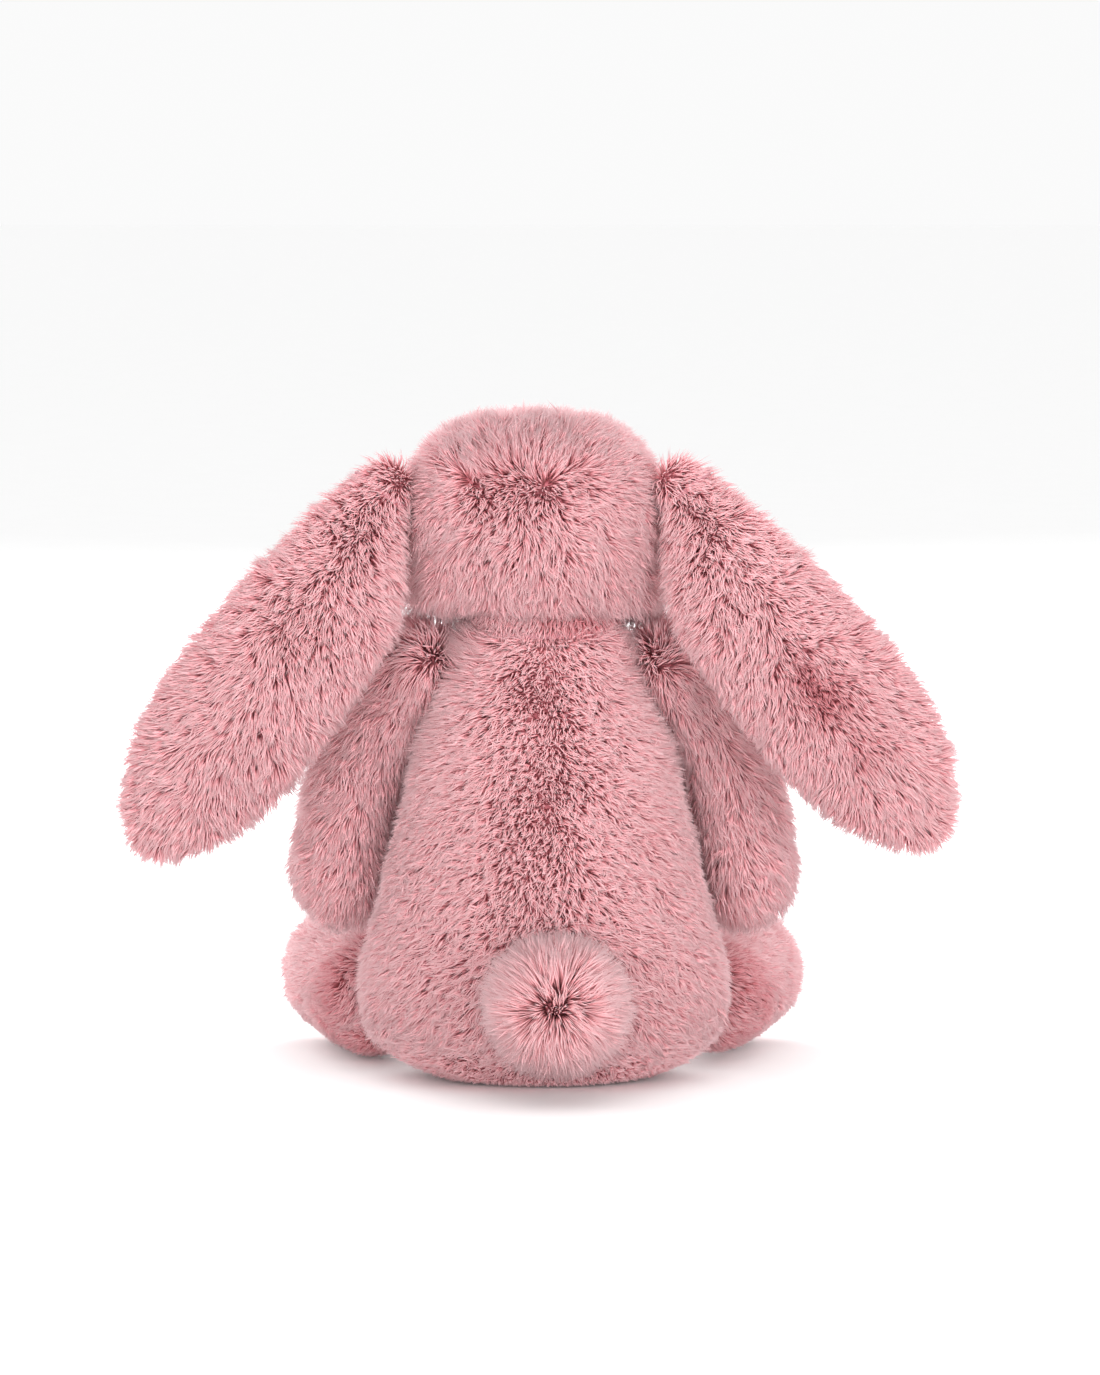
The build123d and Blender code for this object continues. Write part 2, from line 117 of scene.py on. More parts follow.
# Pile: bent guard strands over a finer straight undercoat, in strands per square millimetre.
GUARD_DENSITY = 1.15
UNDER_DENSITY = 2.3
TAIL_DENSITY_GAIN = 1.5
GUARD_ROOT = 0.24 * MM
GUARD_MIDDLE = 0.22 * MM
UNDER_ROOT = 0.25 * MM
ROOT_SINK = 0.3 * MM
FLOOR_CLEARANCE = 0.4 * MM
# Length of the pile in millimetres.
PILE_LENGTH = {
    "torso": 8.0,
    "head": 8.6,
    "neck": 5.5,
    "ear": 9.0,
    "lining": 6.0,
    "arm": 9.6,
    "leg": 7.4,
    "sole": 5.0,
    "tail": 13.2,
}
# Rubbed patches on the backs of the ears, with erect pile and painted shade: place as a share of the length,
# spread across and strength.
EAR_RUFFLES_AND_SHADE = {"left": (0.40, 0.5, 0.3), "right": (0.58, 0.42, 1.0)}
# Tuft spacing, how far strands are drawn to their tuft's tip, and how much tufts turn.
TUFTS = {
    "torso": (1.6 * MM, (0.25, 0.7), 0.42),
    "head": (2.0 * MM, (0.15, 0.6), 0.3),
    "neck": (2.0 * MM, (0.15, 0.6), 0.3),
    "ear": (2.6 * MM, (0.2, 0.7), 0.27),
    "arm": (2.8 * MM, (0.2, 0.7), 0.27),
    "leg": (1.9 * MM, (0.15, 0.6), 0.3),
    "tail": (2.2 * MM, (0.1, 0.5), 0.24),
}

# One strand as corners of its faces, face starts, and for each corner its height and place across.
GUARD_FORM = {
    "points": 7,
    "corners": [0, 1, 4, 3, 1, 2, 5, 4, 2, 0, 3, 5, 3, 4, 6, 4, 5, 6, 5, 3, 6, 2, 1, 0],
    "starts": [0, 4, 8, 12, 15, 18, 21],
    "height": [
        0, 0, 0.5, 0.5, 0, 0, 0.5, 0.5, 0, 0, 0.5, 0.5, 0.5, 0.5, 1, 0.5, 0.5, 1, 0.5, 0.5, 1, 0, 0, 0.02,
    ],
    "across": [0, 1, 1, 0, 1, 2, 2, 1, 2, 3, 3, 2, 0, 1, 0.5, 1, 2, 1.5, 2, 3, 2.5, 2, 1, 0],
}
UNDER_FORM = {
    "points": 4,
    "corners": [0, 1, 3, 1, 2, 3, 2, 0, 3, 2, 1, 0],
    "starts": [0, 3, 6, 9],
    "height": [0, 0, 1, 0, 0, 1, 0, 0, 1, 0, 0, 0.02],
    "across": [0, 1, 0.5, 1, 2, 1.5, 2, 3, 2.5, 2, 1, 0],
}

# Pile colours: root, body and tip of a strand, and the shade of the darkest tufts.
PLUSH_COLOURS = ((0.72, 0.21, 0.235), (0.85, 0.39, 0.42), (0.94, 0.67, 0.69), (0.80, 0.56, 0.58))
LINING_COLOURS = ((0.70, 0.27, 0.29), (0.86, 0.50, 0.515), (0.95, 0.73, 0.74), (0.84, 0.70, 0.71))
TAIL_COLOURS = ((0.80, 0.31, 0.335), (0.87, 0.44, 0.465), (0.93, 0.65, 0.67), (0.84, 0.64, 0.655))

# Soft boxes round the toy: name, place, aim, width in metres and power in watts.
LIGHTS = [
    ("behind_left", (1.1, 2.1, 0.45), (0, 0, 0.12), 1.2, 20),
    ("behind_right", (-1.2, 2.0, 0.52), (0, 0, 0.12), 1.2, 26),
    ("behind_low", (0.1, 2.7, 0.22), (0, 0, 0.10), 0.9, 14),
    ("before_left", (1.1, -2.0, 0.7), (0, 0, 0.12), 1.2, 40),
    ("before_right", (-1.1, -2.0, 0.62), (0, 0, 0.12), 1.2, 34),
]
SKY_STRENGTH = 0.96


# ---------------------------------------------------------------- helpers


def middle(node):
    """Centre of a CAD node's box."""
    low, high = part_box(node)
    return (low + high) / 2


def unit(vectors):
    """Rows scaled to length one."""
    return vectors / np.maximum(np.linalg.norm(vectors, axis=1, keepdims=True), 1e-12)


def smoothstep(low, high, value):
    t = np.clip((value - low) / (high - low), 0, 1)
    return t * t * (3 - 2 * t)


def mesh_arrays(mesh):
    """Vertex positions, vertex normals and triangles of a mesh."""
    count = len(mesh.vertices)
    points = np.empty(count * 3)
    mesh.vertices.foreach_get("co", points)
    normals = np.empty(count * 3)
    mesh.vertices.foreach_get("normal", normals)
    mesh.calc_loop_triangles()
    triangles = np.empty(len(mesh.loop_triangles) * 3, int)
    mesh.loop_triangles.foreach_get("vertices", triangles)
    return points.reshape(-1, 3), normals.reshape(-1, 3), triangles.reshape(-1, 3)


def make_object(name, mesh, material):
    mesh.materials.append(material)
    obj = bpy.data.objects.new(name, mesh)
    bpy.context.scene.collection.objects.link(obj)
    return obj


def shade_smooth(mesh):
    mesh.polygons.foreach_set("use_smooth", np.ones(len(mesh.polygons), bool))


class Swell:
    """A smooth random field in space: a sum of sine waves about one wavelength long."""

    def __init__(self, wavelength, seed, waves=10):
        rng = np.random.default_rng(seed)
        heading = unit(rng.normal(size=(waves, 3)))
        size = rng.uniform(0.7, 1.5, (waves, 1))
        self.wave = heading * size * 2 * math.pi / wavelength
        self.phase = rng.uniform(0, 2 * math.pi, waves)
        self.scale = math.sqrt(2 / waves)

    def __call__(self, points):
        return np.sin(points @ self.wave.T + self.phase).sum(1) * self.scale


# ---------------------------------------------------------------- materials


def new_material(name):
    material = bpy.data.materials.new(name)
    material.use_nodes = True
    tree = material.node_tree
    return material, tree, tree.nodes["Principled BSDF"]


def ramp(tree, stops, factor):
    node = tree.nodes.new("ShaderNodeValToRGB")
    elements = node.color_ramp.elements
    while len(elements) < len(stops):
        elements.new(0.5)
    for element, (place, colour) in zip(elements, stops):
        element.position = place
        element.color = (*colour, 1)
    tree.links.new(factor, node.inputs["Fac"])
    return node.outputs["Color"]


def mixed(tree, kind, factor, first, second):
    node = tree.nodes.new("ShaderNodeMix")
    node.data_type = "RGBA"
    node.blend_type = kind
    node.inputs["Factor"].default_value = factor
    tree.links.new(first, node.inputs["A"])
    tree.links.new(second, node.inputs["B"])
    return node.outputs["Result"]


def noise(tree, scale, detail=3.0, distortion=0.0):
    place = tree.nodes.new("ShaderNodeTexCoord")
    node = tree.nodes.new("ShaderNodeTexNoise")
    node.inputs["Scale"].default_value = scale
    node.inputs["Detail"].default_value = detail
    node.inputs["Distortion"].default_value = distortion
    tree.links.new(place.outputs["Object"], node.inputs["Vector"])
    return node.outputs["Fac"]


def bump(tree, shader, height, strength, distance):
    node = tree.nodes.new("ShaderNodeBump")
    node.inputs["Strength"].default_value = strength
    node.inputs["Distance"].default_value = distance
    tree.links.new(height, node.inputs["Height"])
    tree.links.new(node.outputs["Normal"], shader.inputs["Normal"])


def pile_material(name, root, body, tip, shade):
    """Pile fibres: darker at the root, paler at the tip, each tuft a slightly different tone; the tone also
    carries painted shade and painted light.
    """
    material, tree, shader = new_material(name)
    place = tree.nodes.new("ShaderNodeUVMap")
    place.uv_map = "OFBake"
    parts = tree.nodes.new("ShaderNodeSeparateXYZ")
    tree.links.new(place.outputs["UV"], parts.inputs["Vector"])
    along = ramp(tree, [(0.0, root), (0.45, body), (1.0, tip)], parts.outputs["Y"])
    tone = ramp(tree, [(0.0, shade), (0.5, (0.93, 0.92, 0.92)), (1.0, (1, 1, 1))], parts.outputs["X"])
    colour = mixed(tree, "MULTIPLY", 1.0, along, tone)
    tree.links.new(colour, shader.inputs["Base Color"])
    shader.inputs["Roughness"].default_value = 0.72
    shader.inputs["Specular IOR Level"].default_value = 0.1
    shader.inputs["Sheen Weight"].default_value = 0.08
    shader.inputs["Sheen Roughness"].default_value = 0.45
    shader.inputs["Sheen Tint"].default_value = (1.0, 0.78, 0.81, 1)
    return material


def cloth_material(name, dark, light, threads):
    """Knitted backing cloth with fine ribs."""
    material, tree, shader = new_material(name)
    grain = noise(tree, threads, 2.0)
    blotch = noise(tree, 60, 2.0)
    colour = mixed(
        tree,
        "MULTIPLY",
        0.5,
        ramp(tree, [(0.3, dark), (0.7, light)], grain),
        ramp(tree, [(0.3, (0.8, 0.78, 0.78)), (0.7, (1, 1, 1))], blotch),
    )
    tree.links.new(colour, shader.inputs["Base Color"])
    shader.inputs["Roughness"].default_value = 0.95
    shader.inputs["Specular IOR Level"].default_value = 0.1
    bump(tree, shader, grain, 0.4, 0.0004)
    return material


def fibre_material(name, dark, light):
    """Loose polyester filling: white fibres matted together."""
    material, tree, shader = new_material(name)
    strands = noise(tree, 420, 6.0, 1.5)
    colour = ramp(tree, [(0.3, dark), (0.65, light)], strands)
    tree.links.new(colour, shader.inputs["Base Color"])
    shader.inputs["Roughness"].default_value = 0.9
    shader.inputs["Sheen Weight"].default_value = 0.3
    bump(tree, shader, strands, 0.7, 0.0008)
    return material


def bead_material(name, dark, light, roughness, coat):
    """Moulded plastic with a faint cloudiness."""
    material, tree, shader = new_material(name)
    cloud = noise(tree, 160, 3.0)
    tree.links.new(ramp(tree, [(0.35, dark), (0.7, light)], cloud), shader.inputs["Base Color"])
    shader.inputs["Roughness"].default_value = roughness
    shader.inputs["Specular IOR Level"].default_value = 0.25
    shader.inputs["Coat Weight"].default_value = coat
    shader.inputs["Coat Roughness"].default_value = 0.04
    return material


def thread_material(name, dark, light):
    """Twisted sewing thread."""
    material, tree, shader = new_material(name)
    place = tree.nodes.new("ShaderNodeTexCoord")
    wave = tree.nodes.new("ShaderNodeTexWave")
    wave.inputs["Scale"].default_value = 900
    wave.inputs["Distortion"].default_value = 1.2
    tree.links.new(place.outputs["Object"], wave.inputs["Vector"])
    tree.links.new(ramp(tree, [(0.2, dark), (0.8, light)], wave.outputs["Fac"]), shader.inputs["Base Color"])
    shader.inputs["Roughness"].default_value = 0.6
    shader.inputs["Specular IOR Level"].default_value = 0.2
    shader.inputs["Sheen Weight"].default_value = 0.1
    bump(tree, shader, wave.outputs["Fac"], 0.3, 0.0002)
    return material


def make_materials():
    return {
        "plush": pile_material("plush_pile", *PLUSH_COLOURS),
        "ear_lining": pile_material("lining_pile", *LINING_COLOURS),
        "tail_plush": pile_material("tail_pile", *TAIL_COLOURS),
        "backing": cloth_material("backing_cloth", (0.50, 0.14, 0.17), (0.64, 0.23, 0.26), 900),
        "stuffing": fibre_material("polyester_filling", (0.62, 0.61, 0.58), (0.92, 0.91, 0.88)),
        "pouch": cloth_material("pouch_weave", (0.55, 0.53, 0.48), (0.82, 0.80, 0.74), 1400),
        "pellets": bead_material("plastic_pellets", (0.62, 0.62, 0.58), (0.85, 0.85, 0.80), 0.35, 0.0),
        "thread": thread_material("pink_thread", (0.42, 0.16, 0.18), (0.70, 0.36, 0.38)),
        "nose": thread_material("nose_floss", (0.20, 0.03, 0.05), (0.40, 0.08, 0.11)),
        "mouth": thread_material("mouth_floss", (0.12, 0.02, 0.03), (0.26, 0.05, 0.07)),
        "eye": bead_material("eye_plastic", (0.004, 0.003, 0.003), (0.012, 0.009, 0.008), 0.12, 0.6),
        "washer": bead_material("washer_plastic", (0.55, 0.55, 0.52), (0.78, 0.78, 0.74), 0.5, 0.0),
    }


# ---------------------------------------------------------------- skins


def gathered(names):
    """One mesh holding the triangles of several CAD nodes."""
    points, faces, start = [], [], 0
    for name in names:
        co, _, triangles = mesh_arrays(NODES[name].data)
        points.append(co)
        faces.append(triangles + start)
        start += len(co)
    return np.concatenate(points), np.concatenate(faces)


def mesh_from(name, points, faces):
    mesh = bpy.data.meshes.new(name)
    mesh.from_pydata(points.tolist(), [], faces.tolist())
    mesh.update()
    return mesh


def evaluated_mesh(obj):
    return bpy.data.meshes.new_from_object(obj.evaluated_get(bpy.context.evaluated_depsgraph_get()))


def outer_shell(mesh):
    """Keeps only the largest connected surface."""
    bm = bmesh.new()
    bm.from_mesh(mesh)
    seen, islands = set(), []
    for start in bm.verts:
        if start.index in seen:
            continue
        seen.add(start.index)
        island, queue = [start], [start]
        while queue:
            for edge in queue.pop().link_edges:
                for vert in edge.verts:
                    if vert.index not in seen:
                        seen.add(vert.index)
                        island.append(vert)
                        queue.append(vert)
        islands.append(island)
    islands.sort(key=len)
    stray = [vert for island in islands[:-1] for vert in island]
    bmesh.ops.delete(bm, geom=stray, context="VERTS")
    bm.to_mesh(mesh)
    bm.free()


def voxel_skin(name, nodes):
    """A closed even mesh over the joined CAD solids."""
    points, faces = gathered(nodes)
    source = bpy.data.objects.new(name + "_source", mesh_from(name + "_source", points, faces))
    bpy.context.scene.collection.objects.link(source)
    modifier = source.modifiers.new("skin", "REMESH")
    modifier.mode = "VOXEL"
    modifier.voxel_size = SKIN_VOXEL
    mesh = evaluated_mesh(source)
    old = source.data
    bpy.data.objects.remove(source)
    bpy.data.meshes.remove(old)
    mesh.name = name
    outer_shell(mesh)
    return mesh


def relax(mesh, rounds):
    bm = bmesh.new()
    bm.from_mesh(mesh)
    for _ in range(rounds):
        bmesh.ops.smooth_vert(
            bm, verts=bm.verts, factor=0.5, use_axis_x=True, use_axis_y=True, use_axis_z=True
        )
    bmesh.ops.recalc_face_normals(bm, faces=bm.faces)
    bm.to_mesh(mesh)
    bm.free()
    mesh.update()


def skin_depths(body, points):
    """Depth of each skin vertex under its CAD cover."""
    depths = np.full(len(points), LONGER_PILE_DEPTHS.get(body, SKIN_DEPTH))
    if body == "torso":
        low = 1 - smoothstep(0, 20, points[:, 2] / MM)
        outer = smoothstep(16, 40, np.hypot(points[:, 0], points[:, 1]) / MM)
        depths += SEAT_TUCK * low * outer
    return depths


def settle(mesh, body, tree):
    """Puts every vertex at its depth under the nearest CAD surface."""
    points, normals, _ = mesh_arrays(mesh)
    depths = skin_depths(body, points)
    for i, (point, normal) in enumerate(zip(points, normals)):
        nearest = np.array(tree.find_nearest(Vector(point))[0])
        points[i] = nearest - normal * depths[i]
    mesh.vertices.foreach_set("co", points.ravel())
    mesh.update()


def swell(skin, body):
    """Fills the cover with cloth pressure while its seams hold, and keeps the shape."""
    start = mesh_arrays(skin.data)[0]
    seams = skin.vertex_groups.new(name="seams")
    if len(COVERS[body]) > 1:
        second = np.sort(panel_distances(body, start), axis=1)[:, 1]
        seams.add(np.flatnonzero(second < SKIN_DEPTH + 1.2 * MM).tolist(), 1.0, "REPLACE")
    modifier = skin.modifiers.new("pressure", "CLOTH")
    settings = modifier.settings
    settings.quality = 4
    settings.mass = 0.1
    settings.tension_stiffness = settings.compression_stiffness = 20
    settings.shear_stiffness = 8
    settings.bending_stiffness = 0.3
    settings.vertex_group_mass = "seams"
    settings.use_pressure = True
    settings.uniform_pressure_force = 4
    settings.effector_weights.gravity = 0
    modifier.point_cache.frame_end = SWELL_FRAMES
    for number in range(1, SWELL_FRAMES + 1):
        bpy.context.scene.frame_set(number)
    swollen = evaluated_mesh(skin)
    step = mesh_arrays(swollen)[0] - start
    bpy.data.meshes.remove(swollen)
    skin.modifiers.remove(modifier)
    skin.vertex_groups.clear()
    bpy.context.scene.frame_set(1)
    reach = np.linalg.norm(step, axis=1, keepdims=True)
    step = step * np.minimum(1, SWELL_LIMIT / np.maximum(reach, 1e-9))
    skin.data.vertices.foreach_set("co", (start + step).ravel())
    relax(skin.data, 1)


def make_skin(body, material):
    """The stuffed cloth form of one body, just inside its CAD cover."""
    covers = COVERS[body]
    mesh = voxel_skin(body + "_skin", covers + FILLINGS[body])
    relax(mesh, 2)
    settle(mesh, body, BVHTree.FromPolygons(*[a.tolist() for a in gathered(covers)]))
    relax(mesh, 2)
    shade_smooth(mesh)
    skin = make_object(body + "_skin", mesh, material)
    swell(skin, body)
    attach(skin, body)
    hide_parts(*covers, *[name for name in FILLINGS[body] if "stuffing" in name or "wadding" in name])
    return skin


def make_sleeve(material):
    """The gathered collar of cloth over the neck's stuffing, from inside the torso to inside the head."""
    points, faces = [], []
    for height, half in SLEEVE_PROFILE:
        for step in range(SLEEVE_SIDES):
            turn = 2 * math.pi * step / SLEEVE_SIDES
            reach = half * (1 + 0.012 * math.sin(turn * 9))
            across, along = reach * math.cos(turn), reach * SLEEVE_DEPTH * math.sin(turn)
            points.append((across * MM, along * MM, height * MM))
    for level in range(len(SLEEVE_PROFILE) - 1):
        for step in range(SLEEVE_SIDES):
            after = (step + 1) % SLEEVE_SIDES
            low, high = level * SLEEVE_SIDES, (level + 1) * SLEEVE_SIDES
            faces.append((low + step, low + after, high + after, high + step))
    faces.append(tuple(reversed(range(SLEEVE_SIDES))))
    faces.append(tuple(range((len(SLEEVE_PROFILE) - 1) * SLEEVE_SIDES, len(points))))
    mesh = bpy.data.meshes.new("neck_skin")
    mesh.from_pydata(points, [], faces)
    mesh.update()
    shade_smooth(mesh)
    sleeve = make_object("neck_skin", mesh, material)
    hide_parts("neck_stuffing")
    return sleeve


def hang_sleeve(piece):
    """Bakes the sleeve's placement into its mesh."""
    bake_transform(piece)


# ---------------------------------------------------------------- pile


def panel_distances(body, points):
    """Distance of each point to each sewn panel of a body."""
    columns = []
    for cover in COVERS[body]:
        tree = BVHTree.FromPolygons(*[a.tolist() for a in gathered([cover])])
        columns.append([tree.find_nearest(Vector(point))[3] for point in points])
    return np.array(columns).T


class Roots:
    """Where strands stand: position, outward direction, sewn panel and distance to its seam."""

    def __init__(self, body, skin, density, rng):
        points, normals, triangles = mesh_arrays(skin.data)
        a, b, c = (points[triangles[:, k]] for k in range(3))
        area = np.linalg.norm(np.cross(b - a, c - a), axis=1) / 2
        count = int(area.sum() / MM**2 * density)
        steps = (np.arange(count) + rng.random(count)) / count * area.sum()
        pick = np.minimum(np.searchsorted(np.cumsum(area), steps), len(area) - 1)
        u, v = rng.random((2, count))
        over = u + v > 1
        u[over], v[over] = 1 - u[over], 1 - v[over]
        weight = np.stack([1 - u - v, u, v], 1)[:, :, None]
        corners = triangles[pick]
        self.area = area.sum()
        self.at = (points[corners] * weight).sum(1)
        self.out = unit((normals[corners] * weight).sum(1))
        self.panel = np.zeros(count, int)
        self.seam = np.full(count, 1.0)
        if len(COVERS.get(body, [])) > 1:
            distance = panel_distances(body, points)
            reach = (distance[corners] * weight).sum(1)
            self.panel = reach.argmin(1)
            second = np.sort(reach, axis=1)[:, 1]
            self.seam = np.sqrt(np.maximum(second**2 - SKIN_DEPTH**2, 0))

    def keep(self, mask):
        for name in ("at", "out", "panel", "seam"):
            setattr(self, name, getattr(self, name)[mask])


def tangent(vectors, normals):
    """Directions laid along the surface."""
    flat = vectors - normals * (vectors * normals).sum(1, keepdims=True)
    return unit(flat)


def torso_flow(roots):
    """Down and outward from the centre seams, outward under the base, up and outward at the shoulders."""
    at, out = roots.at, roots.out
    x = at[:, 0] / MM + 3
    z = at[:, 2] / MM
    aside = np.abs(x)
    behind = smoothstep(-0.2, 0.5, out[:, 1])
    flow = np.stack([np.tanh(x / 18) * 0.8, np.zeros(len(at)), -np.ones(len(at))], 1)
    under = smoothstep(0.2, 0.8, -out[:, 2])[:, None]
    radial = np.stack([at[:, 0], at[:, 1], np.zeros(len(at))], 1)
    flow = flow * (1 - under) + unit(radial) * under

    parting = (1 - smoothstep(3, 15, np.abs(x - 6))) * behind * smoothstep(16, 40, z)
    centre = (1 - smoothstep(4, 20, aside)) * (1 - 0.4 * behind)
    ridge = np.exp(-(((x + 3) / 3.0) ** 2)) * behind * smoothstep(16, 40, z)
    rim = 1 - smoothstep(3, 14, z)
    shoulder = smoothstep(84, 112, z) * smoothstep(12, 30, aside)
    top = smoothstep(120, 136, z) * smoothstep(12, 24, aside)

    flow = flow + np.array([0, 0, 1.9]) * top[:, None]
    lean = 0.72 - 0.14 * np.maximum(parting, centre) - 0.1 * ridge + 0.1 * smoothstep(24, 46, aside)
    lean = lean - 0.24 * shoulder
    length = np.full(len(at), PILE_LENGTH["torso"]) - 0.9 * parting + 0.9 * ridge
    length = length * (1 - 0.6 * rim) + 3.0 * shoulder + 2.0 * top
    # Tone: painted shade down the back parting and towards the sides, a painted highlight along the seam ridge,
    # and painted shade round the bottom rim next to the floor.
    tone = 0.74 - 0.1 * parting * (1 - smoothstep(90, 135, z)) + 0.2 * ridge
    tone = tone - 0.06 * smoothstep(14, 40, aside)
    return flow, lean, length, tone - 0.14 * rim


def near_point(at, point, inner, outer, scale=(1, 1, 1)):
    """One within an inner distance of a point and nothing past an outer one, in millimetres."""
    return 1 - smoothstep(inner, outer, np.linalg.norm((at - point) * scale, axis=1) / MM)


def head_flow(roots):
    """Away from a whorl high on the back, and away from the nose on the face."""
    at = roots.at
    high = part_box("head_crown")[1]
    centre = middle("head_crown")
    start = np.array([centre.x + 21 * MM, high.y - 2 * MM, high.z - 16 * MM])
    run = np.array([-28 * MM, 0, -4 * MM])
    share = np.clip((at - start) @ run / (run @ run), 0, 1)[:, None]
    nose = np.array(middle("nose"))
    from_whorl = at - start - share * run
    away = unit(from_whorl) + np.array([0, 0, -0.4])
    face = 1 - smoothstep(-38, -14, at[:, 1] / MM)
    flow = away * (1 - face)[:, None] + unit(at - nose) * face[:, None]
    near = 1 - smoothstep(2, 17, np.linalg.norm(from_whorl, axis=1) / MM)
    lean = 0.82 - 0.36 * near
    # Painted shade round the whorl, where the pile stands up: darker tone near it.
    tone = 0.68 - 0.14 * near

    wide = np.abs(at[:, 0] - centre.x) / MM
    drop = (high.z - at[:, 2]) / MM
    corner = smoothstep(20, 34, wide) * smoothstep(38, 56, drop)
    length = np.full(len(at), PILE_LENGTH["head"]) + 5.4 * corner
    lean = lean - 0.18 * corner
    flow = flow + np.array([0, 0, -0.7]) * corner[:, None]

    length = length * (1 - 0.45 * face)
    length = length * (1 - 0.2 * near_point(at, np.array(middle("muzzle")), 8, 24))
    for eye in ("eye_left", "eye_right"):
        pupil = np.array(middle(eye))
        near_eye = near_point(at, pupil, 5.5, 13)
        length = length * (1 - 0.6 * near_eye)
        lean = lean + 0.2 * near_eye
        flow = flow + unit(at - pupil) * (near_eye * 1.5)[:, None]
    mouth = np.array(middle("mouth_stitch"))
    near_mouth = near_point(at, mouth, 5, 11, (0.75, 1, 1.4))
    short = np.maximum(near_point(at, nose, 4, 10), near_mouth)
    length = length * (1 - 0.6 * short)
    lean = lean + 0.15 * short
    return flow, lean, length, tone


def neck_flow(roots):
    """Down the sleeve, slightly outward."""
    count = len(roots.at)
    down = np.tile([0.0, 0.0, -1.0], (count, 1)) + roots.out * [0.3, 0.3, 0]
    # Tone 0.3 is painted shade on the neck, under the head's overhang.
    return down, np.full(count, 0.72), np.full(count, PILE_LENGTH["neck"]), np.full(count, 0.3)


def tail_flow(roots):
    """Away from the point that faces backward."""
    at = roots.at
    pole = np.array(middle("tail_cover")) + np.array([1, 20, 1]) * MM
    facing = roots.out[:, 1]
    near = smoothstep(0.84, 1.0, facing)
    swirl = np.stack([Swell(5 * MM, SEED + 20 + k)(at) for k in range(3)], 1)
    direction = unit(at - pole) + swirl * (0.15 + 0.6 * near)[:, None]
    lean = 0.60 + 0.1 * facing - 0.5 * near
    # Tone: painted shade at the pole, where the strands part.
    return direction, lean, np.full(len(at), PILE_LENGTH["tail"]), 0.74 - 0.1 * near


def joint_and_far_end(joint, cover):
    """A joint's place, and the direction and distance from it to the farthest point of a panel."""
    root = np.array(JOINTS[joint]["pos_m"])
    points = mesh_arrays(NODES[cover].data)[0]
    along = points[np.linalg.norm(points - root, axis=1).argmax()] - root
    reach = np.linalg.norm(along)
    return root, along / reach, reach


def ear_flow(side, roots):
    """Along the ear and out to both edges from a central parting."""
    root, along, length_all = joint_and_far_end("ear_lift_" + side, "ear_back_" + side)
    across = np.cross(along, (0, 1, 0))
    across = across / np.linalg.norm(across)
    inner = roots.panel == COVERS["ear_" + side].index("ear_lining_" + side)
    back = ~inner

    reach = (roots.at - root) @ along
    wide = (roots.at - root) @ across
    centre_line = np.interp(reach, [0, 0.3 * length_all, length_all], [0, 2 * MM, 0])
    off = (wide - centre_line) / (18 * MM)
    edge = np.clip(np.abs(off), 0, 1.4)[:, None]
    direction = along[None] * (1.15 - 0.45 * edge) + across[None] * np.tanh(off * 1.4)[:, None]
    over = 1 - smoothstep(-4 * MM, 12 * MM, reach)
    up_and_out = across * math.copysign(1.0, across[2])
    direction = direction + up_and_out[None] * over[:, None] * 0.7
    centre = 1 - smoothstep(0.1, 0.7, np.abs(off))

    place, spread, strength = EAR_RUFFLES_AND_SHADE[side]
    ruffle_and_shade = np.exp(-(((reach / length_all - place) / 0.13) ** 2) - (off / spread) ** 2) * strength * back
    lean = 0.85 - 0.08 * centre - 0.5 * ruffle_and_shade
    length = np.where(inner, PILE_LENGTH["lining"], PILE_LENGTH["ear"]) * (1 - 0.2 * ruffle_and_shade)
    # Tone: slight painted shade along the central parting, painted shade in the rubbed patch, and painted light
    # lifting the ear's root out of shade.
    tone = 0.72 - 0.02 * centre * back - 0.72 * ruffle_and_shade + 0.18 * over
    return direction, lean, length, tone


def arm_flow(side, roots):
    """Down the arm, fanning out from the shoulder."""
    root, along, _ = joint_and_far_end("arm_swing_" + side, "arm_outer_" + side)
    down = (roots.at - root) @ along
    away = roots.at - root - along[None] * down[:, None]
    reach = down / MM
    spread = 0.4 * smoothstep(-4, 10, reach) * (1 - smoothstep(10, 45, reach))
    over = (1 - smoothstep(-8, 12, reach)) * smoothstep(-0.1, 0.7, roots.out[:, 2])
    outward = np.array([math.copysign(1.4, root[0]), 0.3, 0.1])
    direction = along[None] + unit(away) * spread[:, None] + outward[None] * over[:, None]
    lean = 0.85 - 0.22 * over
    # Tone 0.95 is painted light, lifting the arms where the ears shade them.
    return direction, lean, PILE_LENGTH["arm"] + 4.2 * over, np.full(len(over), 0.95)


def leg_flow(side, roots):
    """Out from the hip along the leg, short under it and on the sole."""
    root = np.array(JOINTS["leg_raise_" + side]["pos_m"])
    origin = root + np.array([-math.copysign(22, root[0]), -10, 12]) * MM
    direction = unit(roots.at - origin)
    length = PILE_LENGTH["leg"] * (1 - 0.45 * smoothstep(0.1, 0.7, -roots.out[:, 2]))
    lean = np.full(len(direction), 0.82)
    on_sole = roots.panel == COVERS["leg_" + side].index("foot_sole_" + side)
    length[on_sole] = PILE_LENGTH["sole"]
    lean[on_sole] = 0.6
    direction[on_sole] = (0, 0, -1)
    reach = np.linalg.norm(roots.at - root, axis=1) / MM
    # Painted shade: darker tone near the hip, where the leg meets the torso.
    tone = 0.30 + 0.22 * smoothstep(14, 34, reach)
    return direction, lean, length, tone


def body_flow(body, roots):
    """Direction, lean, length in millimetres and tone of the pile at each root."""
    part, _, side = body.partition("_")
    if side:
        return {"ear": ear_flow, "arm": arm_flow, "leg": leg_flow}[part](side, roots)
    return {"torso": torso_flow, "head": head_flow, "neck": neck_flow, "tail": tail_flow}[part](roots)


